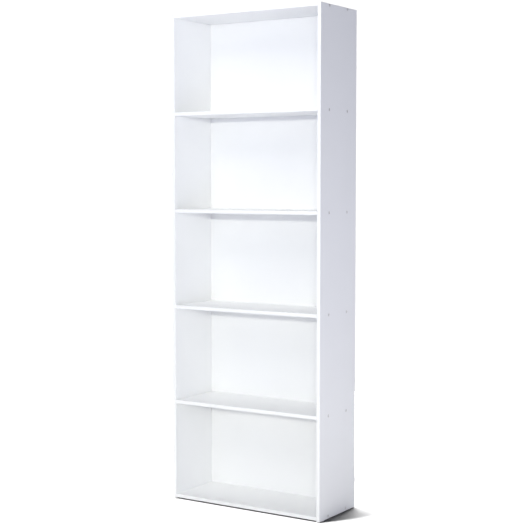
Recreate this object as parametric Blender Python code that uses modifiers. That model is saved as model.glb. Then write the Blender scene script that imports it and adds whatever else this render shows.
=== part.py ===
"""Open bookcase with five equal tiers, knocked down from thin white-faced particleboard.

Two full-height sides carry the top, the bottom and four fixed shelves on countersunk screws, two
at each end of each board. A hardboard sheet closes the back: it stands in a groove that runs round
the sides, the top and the bottom, in from their rear edges. A nail-on glide lifts each lower
corner of the sides off the floor. Nothing on it moves.

Metres, +Z up. The front faces -Y and the origin is on the floor, at the middle of the footprint.
"""

import math

import bmesh
import bpy
from mathutils import Matrix, Vector

# The whole bookcase
WIDTH = 0.600
DEPTH = 0.240
HEIGHT = 1.700
TIERS = 5

# Boards
SIDE_BOARD = 0.012  # thickness of the two sides
SHELF_BOARD = 0.012  # thickness of the top, the bottom and the shelves
SIDE_REACH = 0.004  # how far the sides stand below the bottom board
EDGE_CHAMFER = 0.0004  # trimmed corner of the edge banding

# Back sheet and its groove
BACK_SHEET = 0.003
BACK_INSET = 0.019  # from the rear edges of the case to the rear face of the sheet
GROOVE_DEPTH = 0.005

# Chipboard screws, 4 x 40, cross recess
SCREW_LENGTH = 0.040
SCREW_NECK = 0.0040  # diameter of the plain neck, which fills the side
SCREW_ROOT = 0.0027  # diameter between the threads, which cut into the board
SCREW_HEAD = 0.0080
SCREW_RIM = 0.0003  # height of the head's straight rim above its cone
SCREW_SUNK = 0.0003  # how far the head sits below the side's face
SCREW_TIP = 0.0030
SCREW_FROM_FRONT = 0.056  # from the front edges to the front row of screws
SCREW_FROM_BACK = 0.042  # from the back sheet to the rear row of screws
SCREW_TURN = 37.0  # degrees from one screw's recess to the next one's, as they happen to stop

# Cross recess in a screw's head
RECESS_SPAN = 0.0046
RECESS_SLOT = 0.0010
RECESS_DEPTH = 0.0022
RECESS_TAPER = 0.5  # size of the recess at its floor, as a share of its size at the top

# Nail-on glides
GLIDE_LIFT = 0.002  # from the floor to the sides
GLIDE_DIAMETER = 0.010
GLIDE_CHAMFER = 0.0005
GLIDE_NAIL = 0.0016
GLIDE_NAIL_LENGTH = 0.012
GLIDE_FROM_FRONT = 0.030
GLIDE_FROM_GROOVE = 0.008  # from the groove to the middle of the rear glides

# Clearances
JOINT_GAP = 0.0003  # between boards that touch, and round the back sheet
HOLE_CLEARANCE = 0.0004  # all round a screw or a nail
HOLE_END = 0.0010  # beyond the point of a screw or a nail
OVERRUN = 0.0010  # how far a cutter passes through the face it opens

ROUND_STEPS = 12

# Heights of the boards' undersides, from the bottom board to the top one
LOWEST = GLIDE_LIFT + SIDE_REACH
PITCH = (HEIGHT - SHELF_BOARD - LOWEST) / TIERS
UNDERSIDES = [LOWEST + PITCH * level for level in range(TIERS + 1)]
LEVEL_NAMES = ["bottom"] + [f"shelf_{level}" for level in range(1, TIERS)] + ["top"]

# Depths, from the front
FRONT = -DEPTH / 2
REAR = DEPTH / 2
BACK_REAR = REAR - BACK_INSET
BACK_FRONT = BACK_REAR - BACK_SHEET
GROOVE_FRONT = BACK_FRONT - JOINT_GAP
GROOVE_REAR = BACK_REAR + JOINT_GAP
SCREW_ROWS = {"front": FRONT + SCREW_FROM_FRONT, "rear": BACK_FRONT - SCREW_FROM_BACK}
GLIDE_ROWS = {"front": FRONT + GLIDE_FROM_FRONT, "rear": GROOVE_FRONT - GLIDE_FROM_GROOVE}

# Widths, from the middle
OUTER = WIDTH / 2
INNER = OUTER - SIDE_BOARD
BOARD_END = INNER - JOINT_GAP
SIDES = {"left": -1, "right": 1}


def clear_scene():
    for old in list(bpy.data.objects):
        bpy.data.objects.remove(old, do_unlink=True)


def new_collection(name, parent):
    made = bpy.data.collections.new(name)
    parent.children.link(made)
    return made


def new_material(name, colour, roughness, metallic=0.0):
    made = bpy.data.materials.new(name)
    made.use_nodes = True
    shader = made.node_tree.nodes["Principled BSDF"]
    shader.inputs["Base Color"].default_value = (*colour, 1.0)
    shader.inputs["Roughness"].default_value = roughness
    shader.inputs["Metallic"].default_value = metallic
    made.diffuse_color = (*colour, 1.0)
    return made


clear_scene()
BOOKCASE = new_collection("bookcase", bpy.context.scene.collection)
CUTTERS = new_collection("cutters", bpy.context.scene.collection)
WHITE_LAMINATE = new_material("white_laminate", (0.88, 0.89, 0.90), 0.38)
WHITE_HARDBOARD = new_material("white_hardboard", (0.90, 0.91, 0.92), 0.45)
ZINC = new_material("zinc", (0.60, 0.61, 0.63), 0.32, 1.0)
GLIDE_PLASTIC = new_material("glide_plastic", (0.80, 0.80, 0.79), 0.50)


def new_object(name, mesh, collection, material=None):
    made = bpy.data.objects.new(name, mesh)
    collection.objects.link(made)
    if material:
        mesh.materials.append(material)
    return made


def as_cutter(obj):
    obj.hide_render = True
    obj.display_type = "WIRE"
    return obj


def box(name, low, high, collection, material=None):
    """A block between two corners, its own size in its mesh and its place in its location."""
    low, high = Vector(low), Vector(high)
    shape = bmesh.new()
    bmesh.ops.create_cube(shape, size=1.0)
    bmesh.ops.scale(shape, vec=high - low, verts=shape.verts)
    mesh = bpy.data.meshes.new(name)
    shape.to_mesh(mesh)
    shape.free()
    made = new_object(name, mesh, collection, material)
    made.location = (low + high) / 2
    return made


def turned(name, outline, collection, material=None):
    """A solid turned about its own Z, from (radius, height) points that run down its outer side."""
    mesh = bpy.data.meshes.new(name)
    points = [(radius, 0.0, height) for radius, height in outline]
    mesh.from_pydata(points, [(i, i + 1) for i in range(len(points) - 1)], [])
    made = new_object(name, mesh, collection, material)
    screw = made.modifiers.new("turn", "SCREW")
    screw.axis = "Z"
    screw.steps = ROUND_STEPS
    screw.render_steps = ROUND_STEPS
    screw.use_merge_vertices = True
    screw.merge_threshold = 0.00001
    screw.use_smooth_shade = True
    return made


def cut(board, cutters):
    """Takes the cutters out of a board, which keeps them in a collection of their own."""
    own = new_collection(f"{board.name}_cuts", CUTTERS)
    for cutter in cutters:
        CUTTERS.objects.unlink(cutter)
        own.objects.link(as_cutter(cutter))
    boolean = board.modifiers.new("cuts", "BOOLEAN")
    boolean.operation = "DIFFERENCE"
    boolean.solver = "EXACT"
    boolean.operand_type = "COLLECTION"
    boolean.collection = own


def banded_board(name, low, high):
    """A particleboard panel with the corners of its banding trimmed."""
    board = box(name, low, high, BOOKCASE, WHITE_LAMINATE)
    trim = board.modifiers.new("trimmed_edges", "BEVEL")
    trim.width = EDGE_CHAMFER
    trim.segments = 1
    return board


def facing(hand):
    """Turns a piece's own +Z to face out of the left or the right side."""
    return Matrix.Rotation(hand * math.pi / 2, 4, "Y")


def screw_places(hand):
    """(level, row, centre) of each screw in one side, with the centre on the side's outer face."""
    for level, underside in enumerate(UNDERSIDES):
        for row, y in SCREW_ROWS.items():
            yield level, row, Vector((hand * OUTER, y, underside + SHELF_BOARD / 2))


def countersunk_hole(name):
    """The space of a screw's head and neck, right through a side."""
    head = SCREW_HEAD / 2 + HOLE_CLEARANCE
    neck = SCREW_NECK / 2 + HOLE_CLEARANCE
    cone_top = -SCREW_SUNK - SCREW_RIM
    outline = [
        (0.0, OVERRUN),
        (head, OVERRUN),
        (head, cone_top),
        (neck, cone_top - (head - neck)),
        (neck, -SIDE_BOARD - OVERRUN),
        (0.0, -SIDE_BOARD - OVERRUN),
    ]
    return turned(name, outline, CUTTERS)


def pilot_hole(name):
    """The drilled hole in a board's end, with the drill's point at its bottom."""
    radius = SCREW_ROOT / 2 + HOLE_CLEARANCE
    deep = -(SCREW_SUNK + SCREW_LENGTH + HOLE_END)
    outline = [
        (0.0, -SIDE_BOARD + OVERRUN),
        (radius, -SIDE_BOARD + OVERRUN),
        (radius, deep + radius),
        (0.0, deep),
    ]
    return turned(name, outline, CUTTERS)


def nail_hole(name):
    """The hole for a glide's nail, up into the lower end of a side."""
    radius = GLIDE_NAIL / 2 + HOLE_CLEARANCE
    top = GLIDE_LIFT + GLIDE_NAIL_LENGTH + HOLE_END
    outline = [
        (0.0, top),
        (radius, top - radius),
        (radius, GLIDE_LIFT - OVERRUN),
        (0.0, GLIDE_LIFT - OVERRUN),
    ]
    return turned(name, outline, CUTTERS)


def side_panels():
    for side, hand in SIDES.items():
        low_x, high_x = sorted((hand * OUTER, hand * INNER))
        board = banded_board(
            f"side_panel_{side}", (low_x, FRONT, GLIDE_LIFT), (high_x, REAR, HEIGHT)
        )
        groove_x = sorted((hand * (INNER - OVERRUN), hand * (INNER + GROOVE_DEPTH)))
        cutters = [
            box(
                f"groove_{side}",
                (groove_x[0], GROOVE_FRONT, GLIDE_LIFT - OVERRUN),
                (groove_x[1], GROOVE_REAR, HEIGHT + OVERRUN),
                CUTTERS,
            )
        ]
        for level, row, centre in screw_places(hand):
            hole = countersunk_hole(f"screw_hole_{side}_{LEVEL_NAMES[level]}_{row}")
            hole.matrix_world = Matrix.Translation(centre) @ facing(hand)
            cutters.append(hole)
        for row, y in GLIDE_ROWS.items():
            hole = nail_hole(f"nail_hole_{side}_{row}")
            hole.location = (hand * (INNER + SIDE_BOARD / 2), y, 0.0)
            cutters.append(hole)
        cut(board, cutters)


def level_boards():
    """The bottom, the shelves and the top. Only the bottom and the top reach the rear edges."""
    for level, underside in enumerate(UNDERSIDES):
        grooved = level in (0, TIERS)
        name = f"{LEVEL_NAMES[level]}_panel" if grooved else LEVEL_NAMES[level]
        board = banded_board(
            name,
            (-BOARD_END, FRONT, underside),
            (BOARD_END, REAR if grooved else BACK_FRONT - JOINT_GAP, underside + SHELF_BOARD),
        )
        cutters = []
        for side, hand in SIDES.items():
            for at, row, centre in screw_places(hand):
                if at == level:
                    hole = pilot_hole(f"pilot_hole_{side}_{LEVEL_NAMES[level]}_{row}")
                    hole.matrix_world = Matrix.Translation(centre) @ facing(hand)
                    cutters.append(hole)
        if grooved:
            inner_face = underside + SHELF_BOARD if level == 0 else underside
            into = -1 if level == 0 else 1
            groove_z = sorted((inner_face - into * OVERRUN, inner_face + into * GROOVE_DEPTH))
            cutters.append(
                box(
                    f"groove_{LEVEL_NAMES[level]}",
                    (-BOARD_END - OVERRUN, GROOVE_FRONT, groove_z[0]),
                    (BOARD_END + OVERRUN, GROOVE_REAR, groove_z[1]),
                    CUTTERS,
                )
            )
        cut(board, cutters)


def back_panel():
    reach = GROOVE_DEPTH - JOINT_GAP
    bottom_face = UNDERSIDES[0] + SHELF_BOARD
    top_face = UNDERSIDES[-1]
    box(
        "back_panel",
        (-INNER - reach, BACK_FRONT, bottom_face - reach),
        (INNER + reach, BACK_REAR, top_face + reach),
        BOOKCASE,
        WHITE_HARDBOARD,
    )


def recess_blade(name, angle):
    """One arm of the cross recess, narrower at its floor than at the head's face."""
    top = -SCREW_SUNK + OVERRUN
    floor = -SCREW_SUNK - RECESS_DEPTH
    half = Vector((RECESS_SPAN / 2, RECESS_SLOT / 2, 0.0))
    blade = box(name, Vector((0, 0, floor)) - half, Vector((0, 0, top)) + half, CUTTERS)
    for vertex in blade.data.vertices:
        if vertex.co.z < 0:
            vertex.co.x *= RECESS_TAPER
            vertex.co.y *= RECESS_TAPER
    blade.rotation_euler.z = angle
    return as_cutter(blade)


def screw_mesh():
    """One chipboard screw, its head's seat at the top of its own Z and its point downwards."""
    head, neck, root = SCREW_HEAD / 2, SCREW_NECK / 2, SCREW_ROOT / 2
    top = -SCREW_SUNK
    cone_top = top - SCREW_RIM
    point = top - SCREW_LENGTH
    outline = [
        (0.0, top),
        (head, top),
        (head, cone_top),
        (neck, cone_top - (head - neck)),
        (neck, -SIDE_BOARD + (neck - root)),
        (root, -SIDE_BOARD),
        (root, point + SCREW_TIP),
        (0.0, point),
    ]
    pattern = as_cutter(turned("screw_pattern", outline, CUTTERS, ZINC))
    blades = [recess_blade(f"recess_{n}", n * math.pi / 2) for n in range(2)]
    for blade in blades:
        boolean = pattern.modifiers.new(blade.name, "BOOLEAN")
        boolean.operation = "DIFFERENCE"
        boolean.solver = "EXACT"
        boolean.object = blade
    bpy.context.view_layer.update()
    graph = bpy.context.evaluated_depsgraph_get()
    mesh = bpy.data.meshes.new_from_object(pattern.evaluated_get(graph))
    mesh.name = "chipboard_screw"
    for helper in (pattern, *blades):
        bpy.data.objects.remove(helper, do_unlink=True)
    return mesh


def screws():
    mesh = screw_mesh()
    count = 0
    for side, hand in SIDES.items():
        for level, row, centre in screw_places(hand):
            screw = new_object(f"screw_{side}_{LEVEL_NAMES[level]}_{row}", mesh, BOOKCASE)
            turn = Matrix.Rotation(math.radians(SCREW_TURN * count), 4, "Z")
            screw.matrix_world = Matrix.Translation(centre) @ facing(hand) @ turn
            count += 1


def glides():
    cap = GLIDE_LIFT - JOINT_GAP
    nail = GLIDE_NAIL / 2
    tip = GLIDE_LIFT + GLIDE_NAIL_LENGTH
    rim = GLIDE_DIAMETER / 2
    outline = [
        (0.0, tip),
        (nail, tip - 2 * nail),
        (nail, cap),
        (rim, cap),
        (rim, GLIDE_CHAMFER),
        (rim - GLIDE_CHAMFER, 0.0),
        (0.0, 0.0),
    ]
    for side, hand in SIDES.items():
        for row, y in GLIDE_ROWS.items():
            glide = turned(f"glide_{side}_{row}", outline, BOOKCASE, GLIDE_PLASTIC)
            glide.location = (hand * (INNER + SIDE_BOARD / 2), y, 0.0)


side_panels()
level_boards()
back_panel()
screws()
glides()
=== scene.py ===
"""Looks of an open white bookcase with five tiers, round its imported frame. Metres, +Z up, front -Y."""

import math

import bmesh
import bpy
from mathutils import Matrix, Vector


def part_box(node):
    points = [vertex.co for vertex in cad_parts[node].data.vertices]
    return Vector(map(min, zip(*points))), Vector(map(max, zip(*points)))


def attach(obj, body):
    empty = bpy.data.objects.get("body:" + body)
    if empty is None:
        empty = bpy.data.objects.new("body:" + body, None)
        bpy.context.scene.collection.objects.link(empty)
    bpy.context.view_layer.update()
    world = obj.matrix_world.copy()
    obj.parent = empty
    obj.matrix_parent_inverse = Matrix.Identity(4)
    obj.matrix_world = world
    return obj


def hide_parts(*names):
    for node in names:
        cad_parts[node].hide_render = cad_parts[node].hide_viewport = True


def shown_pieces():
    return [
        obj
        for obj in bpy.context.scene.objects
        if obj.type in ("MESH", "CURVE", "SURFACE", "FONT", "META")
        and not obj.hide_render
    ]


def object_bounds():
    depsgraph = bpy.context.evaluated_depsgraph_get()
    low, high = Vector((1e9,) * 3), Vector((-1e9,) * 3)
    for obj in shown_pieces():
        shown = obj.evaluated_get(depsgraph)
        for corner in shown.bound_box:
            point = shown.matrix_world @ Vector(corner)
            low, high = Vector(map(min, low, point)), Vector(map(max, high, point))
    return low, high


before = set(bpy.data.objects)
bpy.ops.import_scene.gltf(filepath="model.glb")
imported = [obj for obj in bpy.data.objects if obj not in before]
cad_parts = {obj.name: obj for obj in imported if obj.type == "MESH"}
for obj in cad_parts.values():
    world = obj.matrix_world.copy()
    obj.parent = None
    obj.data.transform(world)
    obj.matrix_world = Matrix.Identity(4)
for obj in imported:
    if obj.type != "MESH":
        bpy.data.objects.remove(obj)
cad_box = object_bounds()

# ---------------------------------------------------------------- Sides
# Two full-height boards of 12 mm particleboard, faced with white melamine paper that a finely
# pebbled press plate has embossed. White edge band is glued on the edges that show and trimmed
# at a slant; the groove for the back, the screw holes and the lower ends show bare chips.

white_melamine = (0.925, 0.930, 0.934)
white_band = (0.935, 0.937, 0.940)
dust_grey = (0.300, 0.290, 0.270)
chip_brown = (0.215, 0.125, 0.062)
chip_tan = (0.400, 0.265, 0.145)
chip_straw = (0.560, 0.400, 0.235)
chip_pale = (0.680, 0.530, 0.350)
chip_size = 0.0026
chip_lay = (0.6, 1.0, 1.0)  # below 1, it draws the chips out along that axis
chip_bend = 0.0015  # how far a chip's outline strays
melamine_pitch = 0.0011
melamine_relief = 0.00004
band_pitch = 0.0007
band_relief = 0.00002
core_relief = 0.0003
edge_reach = 0.0006  # a face this near the box of its board belongs to its skin


def node_group(name, inputs, outputs):
    """An empty shader node group. Inputs are (name, kind, default) and outputs (name, kind)."""
    group = bpy.data.node_groups.new(name, "ShaderNodeTree")
    for socket, kind, value in inputs:
        made = group.interface.new_socket(socket, in_out="INPUT", socket_type=f"NodeSocket{kind}")
        made.default_value = value
    for socket, kind in outputs:
        group.interface.new_socket(socket, in_out="OUTPUT", socket_type=f"NodeSocket{kind}")
    return group, group.nodes.new("NodeGroupInput"), group.nodes.new("NodeGroupOutput")


def add_node(tree, kind, inputs=None, **settings):
    """A node with its settings. An input is a value, or another node's output to link."""
    node = tree.nodes.new(f"ShaderNode{kind}")
    for name, value in settings.items():
        setattr(node, name, value)
    for name, value in (inputs or {}).items():
        socket = node.inputs[name]
        if isinstance(value, bpy.types.NodeSocket):
            tree.links.new(value, socket)
        else:
            socket.default_value = value
    return node


def math_node(tree, operation, *values):
    return add_node(tree, "Math", dict(enumerate(values)), operation=operation).outputs[0]


def weighted(tree, *parts):
    """The sum of some values, each given with its weight."""
    total = None
    for value, weight in parts:
        share = math_node(tree, "MULTIPLY", value, weight)
        total = share if total is None else math_node(tree, "ADD", total, share)
    return total


def noise(tree, place, scale, detail=2.0, roughness=0.5):
    inputs = {"Vector": place, "Scale": scale, "Detail": detail, "Roughness": roughness}
    return add_node(tree, "TexNoise", inputs).outputs["Fac"]


def cells(tree, place, scale, randomness=1.0, feature="F1"):
    """Cells round scattered points, such as pits or chips."""
    inputs = {"Vector": place, "Scale": scale, "Randomness": randomness}
    return add_node(tree, "TexVoronoi", inputs, feature=feature)


def ramp(tree, factor, *stops):
    """A colour ramp from (place, colour) stops."""
    node = add_node(tree, "ValToRGB", {"Fac": factor})
    while len(node.color_ramp.elements) < len(stops):
        node.color_ramp.elements.new(0.5)
    for element, (place, colour) in zip(node.color_ramp.elements, stops):
        element.position = place
        element.color = (*colour, 1.0)
    return node.outputs["Color"]


def remap(tree, value, low, high, to_low, to_high):
    inputs = {"Value": value, "From Min": low, "From Max": high, "To Min": to_low, "To Max": to_high}
    return add_node(tree, "MapRange", inputs).outputs["Result"]


def mixed(tree, factor, first, second, blend="MIX"):
    """Two colours mixed by a factor."""
    node = add_node(tree, "Mix", data_type="RGBA", blend_type=blend)
    for socket, value in ((node.inputs[0], factor), (node.inputs[6], first), (node.inputs[7], second)):
        if isinstance(value, bpy.types.NodeSocket):
            tree.links.new(value, socket)
        else:
            socket.default_value = (*value, 1.0) if isinstance(value, tuple) else value
    return node.outputs[2]


def build_pebble():
    """The height of a face that a pebbled plate has pressed: shallow rounded pits on a slow swell."""
    tree, given, made = node_group("pebble", [("Pitch", "Float", melamine_pitch)], [("Height", "Float")])
    place = add_node(tree, "TexCoord").outputs["Object"]
    per_metre = math_node(tree, "DIVIDE", 1.0, given.outputs["Pitch"])
    pits = cells(tree, place, per_metre, randomness=0.9, feature="SMOOTH_F1").outputs["Distance"]
    swell = noise(tree, place, math_node(tree, "MULTIPLY", per_metre, 0.31), detail=3.0)
    tree.links.new(weighted(tree, (pits, 1.0), (swell, 0.6)), made.inputs["Height"])
    return tree


def build_handling():
    """Where a surface has been wiped, handled and dusted: a clouded tint, and marks for its gloss."""
    tree, given, made = node_group(
        "handling",
        [("Color", "Color", (0.8, 0.8, 0.8, 1.0)), ("Clouding", "Float", 0.02)],
        [("Color", "Color"), ("Marks", "Float")],
    )
    place = add_node(tree, "TexCoord").outputs["Object"]
    clouds = noise(tree, place, 9.0, detail=4.0, roughness=0.55)
    specks = noise(tree, place, 160.0, roughness=0.6)
    dusty = remap(tree, weighted(tree, (clouds, 0.7), (specks, 0.3)), 0.35, 0.65, 1.0, 0.0)
    amount = math_node(tree, "MULTIPLY", dusty, given.outputs["Clouding"])
    tree.links.new(mixed(tree, amount, given.outputs["Color"], dust_grey), made.inputs["Color"])
    wiping = {"Vector": place, "Rotation": (0.3, 0.5, 0.2), "Scale": (3.0, 22.0, 3.0)}
    wiped = add_node(tree, "Mapping", wiping).outputs["Vector"]
    strokes = noise(tree, wiped, 2.2, detail=5.0, roughness=0.62)
    tree.links.new(remap(tree, strokes, 0.42, 0.70, 0.0, 1.0), made.inputs["Marks"])
    return tree


def build_chips():
    """Pressed wood chips seen on a cut: each chip its own tone, with fine dust, and painted shade darkening
    the sunken gaps between.
    """
    tree, given, made = node_group(
        "chips", [("Chip size", "Float", chip_size)], [("Color", "Color"), ("Height", "Float")]
    )
    place = add_node(tree, "TexCoord").outputs["Object"]
    per_metre = math_node(tree, "DIVIDE", 1.0, given.outputs["Chip size"])
    wander = noise(tree, place, 300.0)
    drift = add_node(tree, "CombineXYZ", {"X": wander, "Y": wander, "Z": wander}).outputs["Vector"]
    step = add_node(tree, "VectorMath", {0: drift, "Scale": chip_bend}, operation="SCALE").outputs["Vector"]
    bending = {0: place, 1: chip_lay, 2: step}
    bent = add_node(tree, "VectorMath", bending, operation="MULTIPLY_ADD").outputs["Vector"]
    tints = cells(tree, bent, per_metre).outputs["Color"]
    gaps = cells(tree, bent, per_metre, feature="DISTANCE_TO_EDGE").outputs["Distance"]
    tone = add_node(tree, "SeparateColor", {"Color": tints}).outputs["Red"]
    dust = noise(tree, place, 2100.0, detail=3.0, roughness=0.7)
    stops = ((0.10, chip_brown), (0.42, chip_tan), (0.72, chip_straw), (1.00, chip_pale))
    wood = ramp(tree, weighted(tree, (tone, 0.62), (dust, 0.45)), *stops)
    # The gaps between chips are sunk by the bump and also painted darker here: painted shade in those
    # hollows.
    between = remap(tree, gaps, 0.0, 0.09, 0.45, 1.0)
    shade = ramp(tree, between, (0.0, (0.0, 0.0, 0.0)), (1.0, (1.0, 1.0, 1.0)))
    tree.links.new(mixed(tree, 1.0, wood, shade, "MULTIPLY"), made.inputs["Color"])
    tree.links.new(weighted(tree, (between, 0.6), (dust, 0.4)), made.inputs["Height"])
    return tree


pebble = build_pebble()
handling = build_handling()
chips = build_chips()


def new_material(name, roughness, metallic=0.0, specular=0.5):
    """A material with its shader, and the values that are the same all over it."""
    made = bpy.data.materials.new(name)
    made.use_nodes = True
    shader = made.node_tree.nodes["Principled BSDF"]
    shader.inputs["Roughness"].default_value = roughness
    shader.inputs["Metallic"].default_value = metallic
    shader.inputs["Specular IOR Level"].default_value = specular
    return made, made.node_tree, shader


def use_group(tree, group, **inputs):
    """A node group placed in a material, with its own values."""
    node = tree.nodes.new("ShaderNodeGroup")
    node.node_tree = group
    for name, value in inputs.items():
        node.inputs[name].default_value = (*value, 1.0) if isinstance(value, tuple) else value
    return node


def bump(tree, shader, height, distance):
    node = add_node(tree, "Bump", {"Height": height, "Distance": distance, "Strength": 1.0})
    tree.links.new(node.outputs["Normal"], shader.inputs["Normal"])


def handled(tree, shader, colour, clouding, clean, dulled):
    """Clouds a colour, and takes its roughness from clean to dulled where hands have been."""
    worn = use_group(tree, handling, Color=colour, Clouding=clouding)
    tree.links.new(worn.outputs["Color"], shader.inputs["Base Color"])
    tree.links.new(remap(tree, worn.outputs["Marks"], 0.0, 1.0, clean, dulled), shader.inputs["Roughness"])


def faced_material(name, colour, clouding, clean, dulled, pitch, relief):
    """A white facing: clouded colour, gloss that handling has dulled, and a fine relief."""
    made, tree, shader = new_material(name, clean)
    handled(tree, shader, colour, clouding, clean, dulled)
    bump(tree, shader, use_group(tree, pebble, Pitch=pitch).outputs["Height"], relief)
    return made


def core_material():
    made, tree, shader = new_material("particleboard_core", roughness=0.82, specular=0.25)
    wood = use_group(tree, chips)
    tree.links.new(wood.outputs["Color"], shader.inputs["Base Color"])
    bump(tree, shader, wood.outputs["Height"], core_relief)
    return made


melamine = faced_material(
    "melamine",
    white_melamine,
    clouding=0.014,
    clean=0.36,
    dulled=0.45,
    pitch=melamine_pitch,
    relief=melamine_relief,
)
edge_band = faced_material(
    "edge_band",
    white_band,
    clouding=0.012,
    clean=0.30,
    dulled=0.38,
    pitch=band_pitch,
    relief=band_relief,
)
core = core_material()
board_finishes = (melamine, edge_band, core)

box_sides = {  # the axis and the sign of each side's outward direction
    "left": (0, -1),
    "right": (0, 1),
    "front": (1, -1),
    "rear": (1, 1),
    "lower": (2, -1),
    "upper": (2, 1),
}


def set_finishes(mesh, finishes):
    mesh.materials.clear()
    for finish in finishes:
        mesh.materials.append(finish)


def skin_of(face, low, high):
    """Which sides of the box from low to high this face is the skin of. A hole's wall has none."""
    found = set()
    for side, (axis, sign) in box_sides.items():
        limit = (low if sign < 0 else high)[axis]
        if abs(face.center[axis] - limit) < edge_reach and sign * face.normal[axis] > 0.5:
            found.add(side)
    return found


def dress_board(name, faced, banded):
    """Band on a board's banded edges and their trimmed corners, melamine on its faces, else core."""
    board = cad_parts[name]
    low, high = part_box(name)
    set_finishes(board.data, board_finishes)
    for face in board.data.polygons:
        skin = skin_of(face, low, high)
        if skin & banded:
            finish = edge_band
        else:
            finish = melamine if skin & faced else core
        face.material_index = board_finishes.index(finish)


for side in ("left", "right"):
    dress_board(f"side_panel_{side}", {"left", "right"}, {"front", "rear", "upper"})

# ---------------------------------------------------------------- Bottom, shelves and top
# Six boards of the same stock as the sides, cut to fit between them. The bottom and the top run
# to the rear edges and hold the back in a groove; the shelves stop short of it.

shelf_names = sorted(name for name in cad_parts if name.startswith("shelf_"))
for name in shelf_names:
    dress_board(name, {"lower", "upper"}, {"front"})
for name in ("bottom_panel", "top_panel"):
    dress_board(name, {"lower", "upper"}, {"front", "rear"})

# ---------------------------------------------------------------- Back sheet
# 3 mm hardboard. Its smooth side faces the shelves and is lacquered white; the other side is bare
# brown fibre, printed with the wire screen that it was pressed on.

white_lacquer = (0.930, 0.935, 0.938)
lacquer_pitch = 0.0030
lacquer_relief = 0.00004
fibre_dark = (0.150, 0.082, 0.040)
fibre_brown = (0.235, 0.138, 0.072)
fibre_light = (0.330, 0.205, 0.115)
fibre_relief = 0.00025
screen_pitch = 0.0016
fibre_lay = (1.0, 1.0, 0.35)  # below 1, it draws the fibres out along that axis


def hardboard_material():
    made, tree, shader = new_material("bare_hardboard", roughness=0.78, specular=0.3)
    place = add_node(tree, "TexCoord").outputs["Object"]
    strands = add_node(tree, "Mapping", {"Vector": place, "Scale": fibre_lay}).outputs["Vector"]
    fibres = noise(tree, strands, 700.0, detail=5.0, roughness=0.65)
    flecks = noise(tree, strands, 160.0, detail=3.0)
    blotches = noise(tree, place, 5.0)
    tone = weighted(tree, (fibres, 0.62), (flecks, 0.28), (blotches, 0.10))
    browns = ramp(tree, tone, (0.32, fibre_dark), (0.50, fibre_brown), (0.70, fibre_light))
    tree.links.new(browns, shader.inputs["Base Color"])
    along = add_node(tree, "SeparateXYZ", {"Vector": place})
    wires = []
    for axis in ("X", "Z"):
        turn = math_node(tree, "MULTIPLY", along.outputs[axis], 2 * math.pi / screen_pitch)
        wires.append(math_node(tree, "SINE", turn))
    screen = math_node(tree, "MULTIPLY", *wires)
    bump(tree, shader, weighted(tree, (screen, 0.5), (fibres, 1.0)), fibre_relief)
    return made


lacquered = faced_material(
    "lacquered_hardboard",
    white_lacquer,
    clouding=0.012,
    clean=0.34,
    dulled=0.44,
    pitch=lacquer_pitch,
    relief=lacquer_relief,
)
back_finishes = (lacquered, hardboard_material())
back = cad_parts["back_panel"]
back_low, back_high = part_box("back_panel")
set_finishes(back.data, back_finishes)
for face in back.data.polygons:
    is_front = skin_of(face, back_low, back_high) == {"front"}
    face.material_index = 0 if is_front else 1

# ---------------------------------------------------------------- Screws
# 24 zinc-plated 4 x 40 chipboard screws, with a countersunk head, a cross recess, a plain neck as
# long as the side is thick and a rolled thread. They are driven until the head is just sunk.

zinc_tint = (0.880, 0.890, 0.900)
zinc_pitch = 0.0002
zinc_relief = 0.00001
head_radius = 0.0040
head_rim = 0.0003
neck_radius = 0.0020
root_radius = 0.00135
crest_radius = 0.0020
thread_pitch = 0.0018
thread_runout = 0.0009
pitch_lines = 4  # lines of the turned skin in one pitch of the thread
crest_line = 1  # which of them is the crest
point_length = 0.0045
point_power = 0.85  # below 1, so that the point is a little fuller than a cone
recess_span = 0.0046
recess_slot = 0.0010
recess_depth = 0.0022
recess_floor = 0.5  # the size of the recess's floor, as a share of its mouth
screw_turn = math.radians(37.0)  # from one screw's recess to the next one's, as they stopped
round_steps = 32
merge_gap = 0.000005
sharp_above = math.radians(32.0)

side_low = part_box("side_panel_right")[0]
screw_low, screw_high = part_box("screw_right_top_front")
screw_length = screw_high.x - screw_low.x
neck_length = screw_high.x - side_low.x


def zinc_material():
    """Zinc plate under a matt passivated film, which takes away part of its mirror."""
    made, tree, shader = new_material("zinc_plate", roughness=0.46, metallic=0.65)
    handled(tree, shader, zinc_tint, clouding=0.18, clean=0.42, dulled=0.56)
    bump(tree, shader, use_group(tree, pebble, Pitch=zinc_pitch).outputs["Height"], zinc_relief)
    return made


def mesh_from(shape, name):
    """A finished shape as a mesh."""
    mesh = bpy.data.meshes.new(name)
    shape.to_mesh(mesh)
    shape.free()
    return mesh


def turned_mesh(name, rows):
    """A closed skin turned about Z. Each row gives its radius and height at a share of the turn."""
    shape = bmesh.new()
    rings = []
    for row in rows:
        ring = []
        for step in range(round_steps + 1):
            radius, height = row(step / round_steps)
            angle = 2 * math.pi * step / round_steps
            ring.append(shape.verts.new((radius * math.cos(angle), radius * math.sin(angle), height)))
        rings.append(ring)
    for upper, lower in zip(rings, rings[1:]):
        for step in range(round_steps):
            shape.faces.new((upper[step], lower[step], lower[step + 1], upper[step + 1]))
    bmesh.ops.remove_doubles(shape, verts=shape.verts, dist=merge_gap)
    bmesh.ops.recalc_face_normals(shape, faces=shape.faces)
    return mesh_from(shape, name)


def level(radius, height):
    """A plain row of a turned skin."""
    return lambda share: (radius, height)


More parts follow.
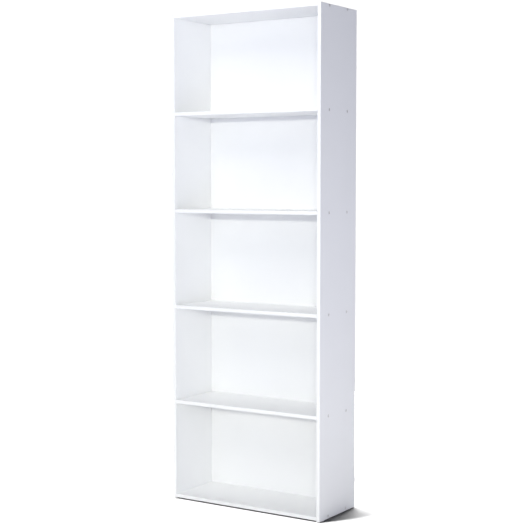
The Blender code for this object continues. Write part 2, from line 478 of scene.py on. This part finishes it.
def thread_row(number):
    """A line of the thread, which winds down one pitch in each turn."""

    def place(share):
        height = thread_pitch * (1 - share - number / pitch_lines) - neck_length
        height = min(-neck_length, max(-screw_length, height))
        is_crest = number % pitch_lines == crest_line
        rise = min(1.0, (-neck_length - height) / thread_runout) if is_crest else 0.0
        point = min(1.0, (height + screw_length) / point_length)
        return (root_radius + (crest_radius - root_radius) * rise) * point**point_power, height

    return place


def recess_arm(angle):
    """A wedge that cuts one bar of the cross, narrower at its floor."""
    shape = bmesh.new()
    bmesh.ops.create_cube(shape, size=1.0)
    for vertex in shape.verts:
        lowest = vertex.co.z < 0
        size = recess_floor if lowest else 1.0
        vertex.co.x *= recess_span * size
        vertex.co.y *= recess_slot * size
        vertex.co.z = -recess_depth if lowest else recess_depth
    bmesh.ops.rotate(shape, verts=shape.verts, matrix=Matrix.Rotation(angle, 3, "Z"))
    return bpy.data.objects.new("recess_arm", mesh_from(shape, "recess_arm"))


def screw_mesh():
    """The head, its cone, the neck and the thread turned as one skin, with the recess cut in it."""
    cone_end = -head_rim - (head_radius - neck_radius)
    neck_end = root_radius - neck_radius - neck_length
    rows = [level(0.0, 0.0), level(head_radius, 0.0), level(head_radius, -head_rim)]
    rows += [level(neck_radius, cone_end), level(neck_radius, neck_end)]
    thread_lines = math.ceil(pitch_lines * ((screw_length - neck_length) / thread_pitch + 1))
    rows += [thread_row(number) for number in range(thread_lines + 1)]
    blank = bpy.data.objects.new("screw_blank", turned_mesh("screw_blank", rows))
    bpy.context.scene.collection.objects.link(blank)
    arms = [recess_arm(angle) for angle in (0.0, math.pi / 2)]
    for arm in arms:
        bpy.context.scene.collection.objects.link(arm)
        cut = blank.modifiers.new("recess", "BOOLEAN")
        cut.object = arm
    bpy.context.view_layer.update()
    mesh = bpy.data.meshes.new_from_object(blank.evaluated_get(bpy.context.evaluated_depsgraph_get()))
    for helper in (blank, *arms):
        bpy.data.objects.remove(helper)
    mesh.name = "chipboard_screw"
    return mesh


def finish_mesh(mesh, finish):
    """One finish all over a mesh, with rounds smooth and edges sharp."""
    set_finishes(mesh, (finish,))
    mesh.shade_smooth()
    mesh.set_sharp_from_angle(angle=sharp_above)


zinc_plate = zinc_material()
screw_shape = screw_mesh()
finish_mesh(screw_shape, zinc_plate)
screw_names = [name for name in sorted(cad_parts) if name.startswith("screw_")]
for count, name in enumerate(screw_names):
    low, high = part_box(name)
    outward = 1 if high.x > 0 else -1
    head = Vector((high.x if outward > 0 else low.x, (low.y + high.y) / 2, (low.z + high.z) / 2))
    screw = bpy.data.objects.new(name.replace("screw", "chipboard_screw"), screw_shape)
    bpy.context.scene.collection.objects.link(screw)
    screw.matrix_world = (
        Matrix.Translation(head)
        @ Matrix.Rotation(outward * math.pi / 2, 4, "Y")
        @ Matrix.Rotation(screw_turn * count, 4, "Z")
    )
    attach(screw, "root")
    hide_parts(name)

# ---------------------------------------------------------------- Glides
# Four white nylon glides, each moulded on a zinc-plated steel nail and knocked into the lower end
# of a side. The pad's lower rim is rounded so that it slides.

white_nylon = (0.740, 0.740, 0.720)
nylon_pitch = 0.0004
nylon_relief = 0.00002
pad_gap = 0.0003  # between the pad and the end of the side
pad_rim = 0.0007
rim_bends = 5
nail_radius = 0.0008
nail_root = 0.0005  # how far inside the pad the nail starts
nail_point = 0.0022


def pad_mesh(radius, top):
    """The pad, from its flat top round the moulded rim to the floor."""
    rows = [level(0.0, top), level(radius, top)]
    for bend in range(rim_bends + 1):
        angle = math.pi / 2 * bend / rim_bends
        rows.append(level(radius - pad_rim * (1 - math.cos(angle)), pad_rim * (1 - math.sin(angle))))
    rows.append(level(0.0, 0.0))
    return turned_mesh("glide_pad", rows)


def nail_mesh(foot, tip):
    """The nail, from its point down to where the pad is moulded round it."""
    shank = [level(nail_radius, tip - nail_point), level(nail_radius, foot)]
    return turned_mesh("glide_nail", [level(0.0, tip), *shank, level(0.0, foot)])


nylon = faced_material(
    "nylon",
    white_nylon,
    clouding=0.06,
    clean=0.48,
    dulled=0.60,
    pitch=nylon_pitch,
    relief=nylon_relief,
)
pad_top = side_low.z - pad_gap
glide_low, glide_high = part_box("glide_right_front")
pad_shape = pad_mesh((glide_high.x - glide_low.x) / 2, pad_top)
nail_shape = nail_mesh(pad_top - nail_root, glide_high.z)
finish_mesh(pad_shape, nylon)
finish_mesh(nail_shape, zinc_plate)
for name in sorted(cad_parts):
    if name.startswith("glide_"):
        low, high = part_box(name)
        pad = bpy.data.objects.new(name.replace("glide", "glide_pad"), pad_shape)
        nail = bpy.data.objects.new(name.replace("glide", "glide_nail"), nail_shape)
        for piece in (pad, nail):
            bpy.context.scene.collection.objects.link(piece)
            piece.location = ((low.x + high.x) / 2, (low.y + high.y) / 2, 0.0)
            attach(piece, "root")
        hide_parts(name)

# ---------------------------------------------------------------- Studio
# A round floor in a white room. A long thin lamp at the height of the top, to the right of the
# front, draws the shadows under the shelves, and soft boxes fill in round it. Two suns from the
# left reach only the floor: they whiten it and give its shadow its shape.

bookcase_pieces = bpy.data.collections.new("bookcase_pieces")
studio_floor = bpy.data.collections.new("studio_floor")
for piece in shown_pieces():
    bookcase_pieces.objects.link(piece)

floor_radius = 2.4
floor_steps = 96
floor_paint = (0.140, 0.140, 0.140)
floor_bounce = (0.053, 0.053, 0.053)


def floor_disc():
    """The floor. What it throws back at the bookcase is darker than the floor itself looks."""
    shape = bmesh.new()
    bmesh.ops.create_circle(shape, cap_ends=True, segments=floor_steps, radius=floor_radius)
    floor = bpy.data.objects.new("floor", mesh_from(shape, "floor"))
    bpy.context.scene.collection.objects.link(floor)
    studio_floor.objects.link(floor)
    made, tree, shader = new_material("floor_paint", roughness=0.9, specular=0.1)
    worn = use_group(tree, handling, Color=floor_paint, Clouding=0.02)
    seen = add_node(tree, "LightPath").outputs["Is Camera Ray"]
    tree.links.new(mixed(tree, seen, floor_bounce, worn.outputs["Color"]), shader.inputs["Base Color"])
    floor.data.materials.append(made)


floor_disc()


def lamp(name, kind, place, aim, power, tint, lights_only, **shape):
    """A lamp at a place, turned to an aim, that lights one collection only."""
    data = bpy.data.lights.new(name, kind)
    data.energy = power
    data.color = tint
    for setting, value in shape.items():
        setattr(data, setting, value)
    made = bpy.data.objects.new(name, data)
    bpy.context.scene.collection.objects.link(made)
    made.location = place
    made.rotation_euler = (aim - place).to_track_quat("-Z", "Y").to_euler()
    made.visible_camera = False
    made.light_linking.receiver_collection = lights_only


def soft_box(name, place, aim, watts, tint, long, high):
    """A rectangular lamp that lights only the bookcase."""
    shape = {"shape": "RECTANGLE", "size": long, "size_y": high}
    lamp(name, "AREA", place, aim, watts, tint, bookcase_pieces, **shape)


size = cad_box[1] - cad_box[0]
middle = Vector((0.0, 0.0, size.z / 2))
top_middle = Vector((0.0, 0.0, size.z))
low_right = Vector((size.x / 2, 0.0, 0.6))
plain_white = (1.0, 1.0, 1.0)


def around(azimuth, elevation, distance):
    """A place round the middle of the bookcase: azimuth 0 is in front, 90 to its right."""
    turn, rise = math.radians(azimuth), math.radians(elevation)
    flat = math.cos(rise)
    return middle + distance * Vector((math.sin(turn) * flat, -math.cos(turn) * flat, math.sin(rise)))


key_front = 5.05  # from the front edges to the key lamp
key_turn = math.radians(28.0)
key_place = Vector((key_front * math.tan(key_turn), cad_box[0].y - key_front, size.z))
box_distance = 4.5
upper_front = around(0.0, 45.0, box_distance)
rear_left = around(228.0, 12.0, box_distance)
right_far = Vector((2.6, -1.6, 0.25))
right_near = Vector((1.9, -0.2, 0.62))
overhead = Vector((0.0, 0.3, size.z + 2.5))
soft_box("key", key_place, top_middle, watts=121.0, tint=(1.0, 1.0, 0.918), long=2.0, high=0.15)
soft_box("upper_front", upper_front, middle, watts=54.0, tint=(1.0, 0.964, 0.894), long=2.0, high=2.0)
soft_box("right_far", right_far, low_right, watts=5.0, tint=(0.820, 0.880, 1.0), long=1.2, high=0.3)
soft_box("right_near", right_near, low_right, watts=8.4, tint=(0.833, 0.833, 1.0), long=1.2, high=0.3)
soft_box("rear_left", rear_left, middle, watts=105.0, tint=plain_white, long=2.5, high=2.5)
soft_box("overhead", overhead, top_middle, watts=16.0, tint=plain_white, long=1.0, high=1.0)

sun_strength = 36.0
sun_rise = 45.0
sun_distance = 4.0  # any will do, as a sun's light has only a direction
for name, azimuth, spread in (("floor_front_left", -35.3, 14.0), ("floor_rear_left", -130.0, 70.0)):
    spot = around(azimuth, sun_rise, sun_distance)
    lamp(name, "SUN", spot, middle, sun_strength, plain_white, studio_floor, angle=math.radians(spread))

front_light = (0.550, 0.595, 0.715)
low_light = (0.820, 0.820, 1.150)
seen_strength = 1.1  # a little past plain white


def white_room():
    """Plain white where the camera sees it. Its light comes from the front and from below."""
    world = bpy.data.worlds.new("white_room")
    bpy.context.scene.world = world
    world.use_nodes = True
    tree = world.node_tree
    tree.nodes.clear()
    outlook = add_node(tree, "TexCoord").outputs["Generated"]
    total = (0.0, 0.0, 0.0)
    for direction, colour in (((0.0, -1.0, 0.0), front_light), ((0.0, 0.0, -1.0), low_light)):
        facing = add_node(tree, "VectorMath", {0: outlook, 1: direction}, operation="DOT_PRODUCT")
        share = math_node(tree, "MAXIMUM", facing.outputs["Value"], 0.0)
        lobe = add_node(tree, "VectorMath", {0: share, 1: colour, 2: total}, operation="MULTIPLY_ADD")
        total = lobe.outputs["Vector"]
    seen = add_node(tree, "Background", {"Color": (*plain_white, 1.0), "Strength": seen_strength})
    cast = add_node(tree, "Background", {"Color": total})
    choice = add_node(tree, "MixShader", {"Fac": add_node(tree, "LightPath").outputs["Is Camera Ray"]})
    tree.links.new(cast.outputs["Background"], choice.inputs[1])
    tree.links.new(seen.outputs["Background"], choice.inputs[2])
    tree.links.new(choice.outputs["Shader"], add_node(tree, "OutputWorld").inputs["Surface"])


white_room()
bpy.context.scene.view_settings.view_transform = "Standard"

camera_lens = 84.13  # millimetres, and so is the sensor
camera_sensor = 36.0
camera_turn = math.radians(32.82)
camera_fall = math.radians(3.78)
camera_distance = 4.1422
camera_aim = Vector((0.0867, cad_box[0].y, 0.8453))

camera_data = bpy.data.cameras.new("camera")
camera_data.lens = camera_lens
camera_data.sensor_width = camera_sensor
camera = bpy.data.objects.new("camera", camera_data)
bpy.context.scene.collection.objects.link(camera)
bpy.context.scene.camera = camera
camera_back = Vector(
    (
        math.sin(camera_turn) * math.cos(camera_fall),
        -math.cos(camera_turn) * math.cos(camera_fall),
        math.sin(camera_fall),
    )
)
camera.location = camera_aim + camera_distance * camera_back
camera.rotation_euler = (-camera_back).to_track_quat("-Z", "Y").to_euler()
